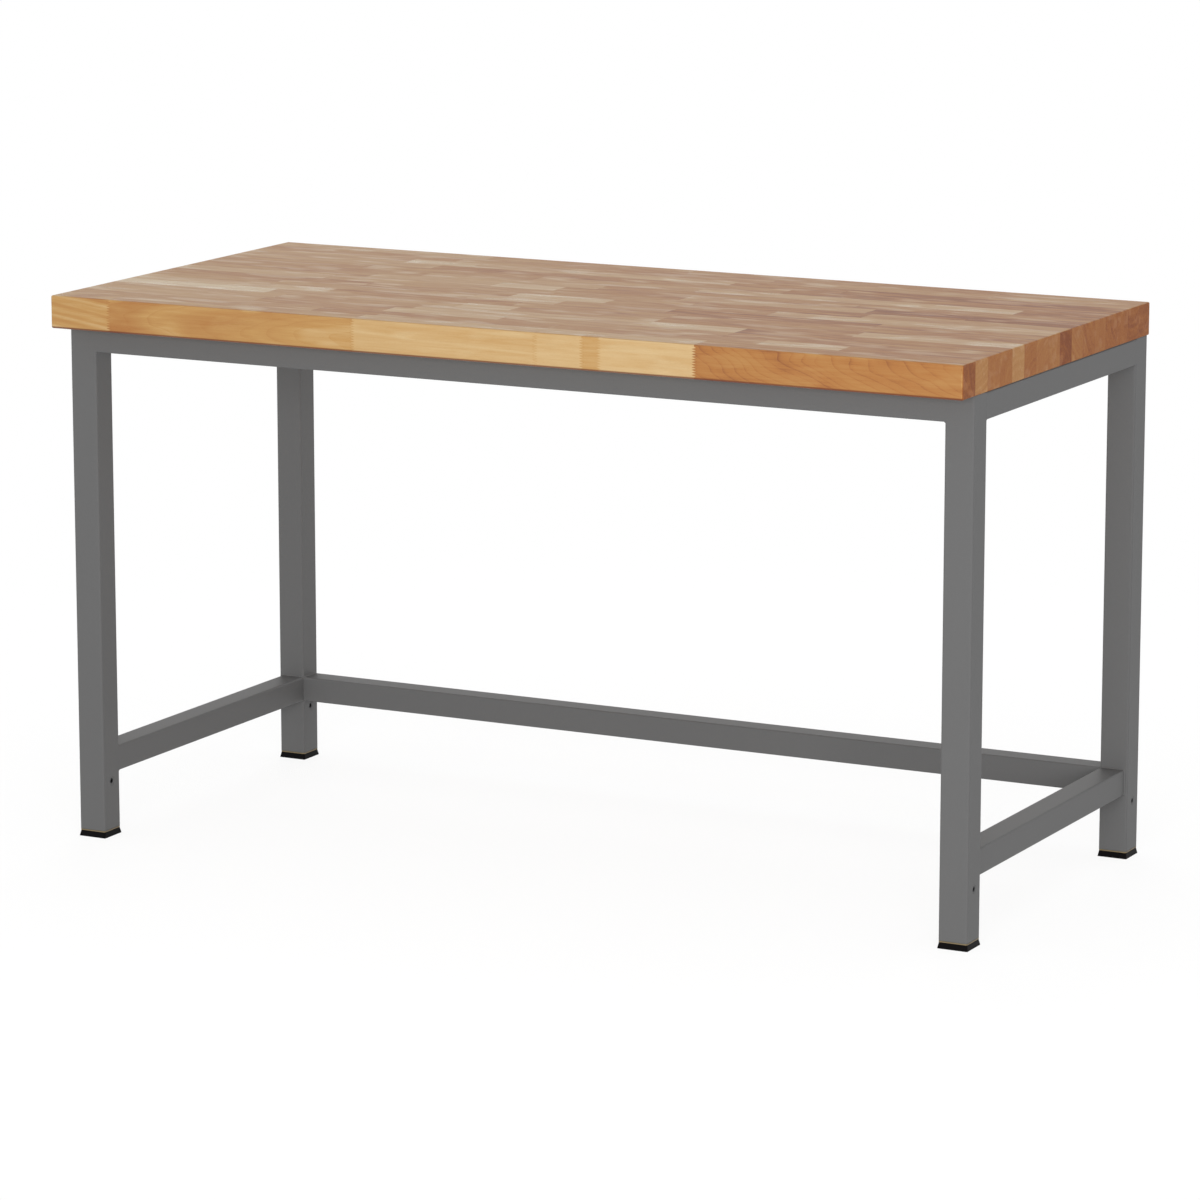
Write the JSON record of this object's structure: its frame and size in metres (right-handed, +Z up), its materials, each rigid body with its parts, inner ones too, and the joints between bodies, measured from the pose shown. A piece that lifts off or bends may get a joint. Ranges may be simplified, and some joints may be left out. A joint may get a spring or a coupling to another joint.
{
  "type": "height-adjustable workbench",
  "caption": "Workshop bench with a thick beech worktop on a welded square-tube frame, open in front, whose telescopic legs are held by clamp screws.",
  "frame": {"origin": "on the floor under the middle of the worktop, with the legs drawn in", "axes": "+X along the bench to its right end, +Y to the rear, +Z up; the knee space opens towards -Y"},
  "size_m": [1.5, 0.7, 0.85],
  "materials": {
    "beech": "oiled, finger-jointed staves",
    "powder_coat": "satin grey powder coat",
    "zinc_steel": "bright zinc plate",
    "black_steel": "blackened steel",
    "black_plastic": "moulded black polyamide",
    "tan_plastic": "natural polyamide"
  },
  "bodies": {
    "bench": {"worktop": "beech", "worktop_screw_front_left": "zinc_steel", "worktop_screw_front_middle": "zinc_steel", "worktop_screw_front_right": "zinc_steel", "worktop_screw_rear_left": "zinc_steel", "worktop_screw_rear_middle": "zinc_steel", "worktop_screw_rear_right": "zinc_steel", "top_rail_front": "powder_coat", "top_rail_rear": "powder_coat", "top_rail_left": "powder_coat", "top_rail_right": "powder_coat", "lower_rail_rear": "powder_coat", "lower_rail_left": "powder_coat", "lower_rail_right": "powder_coat", "corner_plate_front_left": "powder_coat", "corner_plate_front_right": "powder_coat", "corner_plate_rear_left": "powder_coat", "corner_plate_rear_right": "powder_coat", "fixing_tab_front": "powder_coat", "fixing_tab_rear": "powder_coat", "leg_tube_front_left": "powder_coat", "leg_tube_front_right": "powder_coat", "leg_tube_rear_left": "powder_coat", "leg_tube_rear_right": "powder_coat", "guide_sleeve_front_left": "tan_plastic", "guide_sleeve_front_right": "tan_plastic", "guide_sleeve_rear_left": "tan_plastic", "guide_sleeve_rear_right": "tan_plastic", "clamp_bush_front_left": "powder_coat", "clamp_bush_front_right": "powder_coat", "clamp_bush_rear_left": "powder_coat", "clamp_bush_rear_right": "powder_coat"},
    "extension_front_left": {"extension_tube_front_left": "zinc_steel", "guide_plug_front_left": "black_plastic", "foot_front_left": "black_plastic"},
    "extension_front_right": {"extension_tube_front_right": "zinc_steel", "guide_plug_front_right": "black_plastic", "foot_front_right": "black_plastic"},
    "extension_rear_left": {"extension_tube_rear_left": "zinc_steel", "guide_plug_rear_left": "black_plastic", "foot_rear_left": "black_plastic"},
    "extension_rear_right": {"extension_tube_rear_right": "zinc_steel", "guide_plug_rear_right": "black_plastic", "foot_rear_right": "black_plastic"},
    "clamp_front_left": {"clamp_screw_front_left": "black_steel"},
    "clamp_front_right": {"clamp_screw_front_right": "black_steel"},
    "clamp_rear_left": {"clamp_screw_rear_left": "black_steel"},
    "clamp_rear_right": {"clamp_screw_rear_right": "black_steel"}
  },
  "joints": [
    {"name": "slide_front_left", "type": "slide", "parent": "bench", "child": "extension_front_left", "axis": [0, 0, -1], "range_m": [0, 0.25]},
    {"name": "slide_front_right", "type": "slide", "parent": "bench", "child": "extension_front_right", "axis": [0, 0, -1], "range_m": [0, 0.25]},
    {"name": "slide_rear_left", "type": "slide", "parent": "bench", "child": "extension_rear_left", "axis": [0, 0, -1], "range_m": [0, 0.25]},
    {"name": "slide_rear_right", "type": "slide", "parent": "bench", "child": "extension_rear_right", "axis": [0, 0, -1], "range_m": [0, 0.25]},
    {"name": "turn_front_left", "type": "hinge", "parent": "bench", "child": "clamp_front_left", "pos_m": [-0.7025, -0.279, 0.087], "axis": [1, 0, 0], "range_deg": [0, 720]},
    {"name": "turn_front_right", "type": "hinge", "parent": "bench", "child": "clamp_front_right", "pos_m": [0.7475, -0.279, 0.087], "axis": [1, 0, 0], "range_deg": [0, 720]},
    {"name": "turn_rear_left", "type": "hinge", "parent": "bench", "child": "clamp_rear_left", "pos_m": [-0.7025, 0.326, 0.087], "axis": [1, 0, 0], "range_deg": [0, 720]},
    {"name": "turn_rear_right", "type": "hinge", "parent": "bench", "child": "clamp_rear_right", "pos_m": [0.7475, 0.326, 0.087], "axis": [1, 0, 0], "range_deg": [0, 720]}
  ]
}
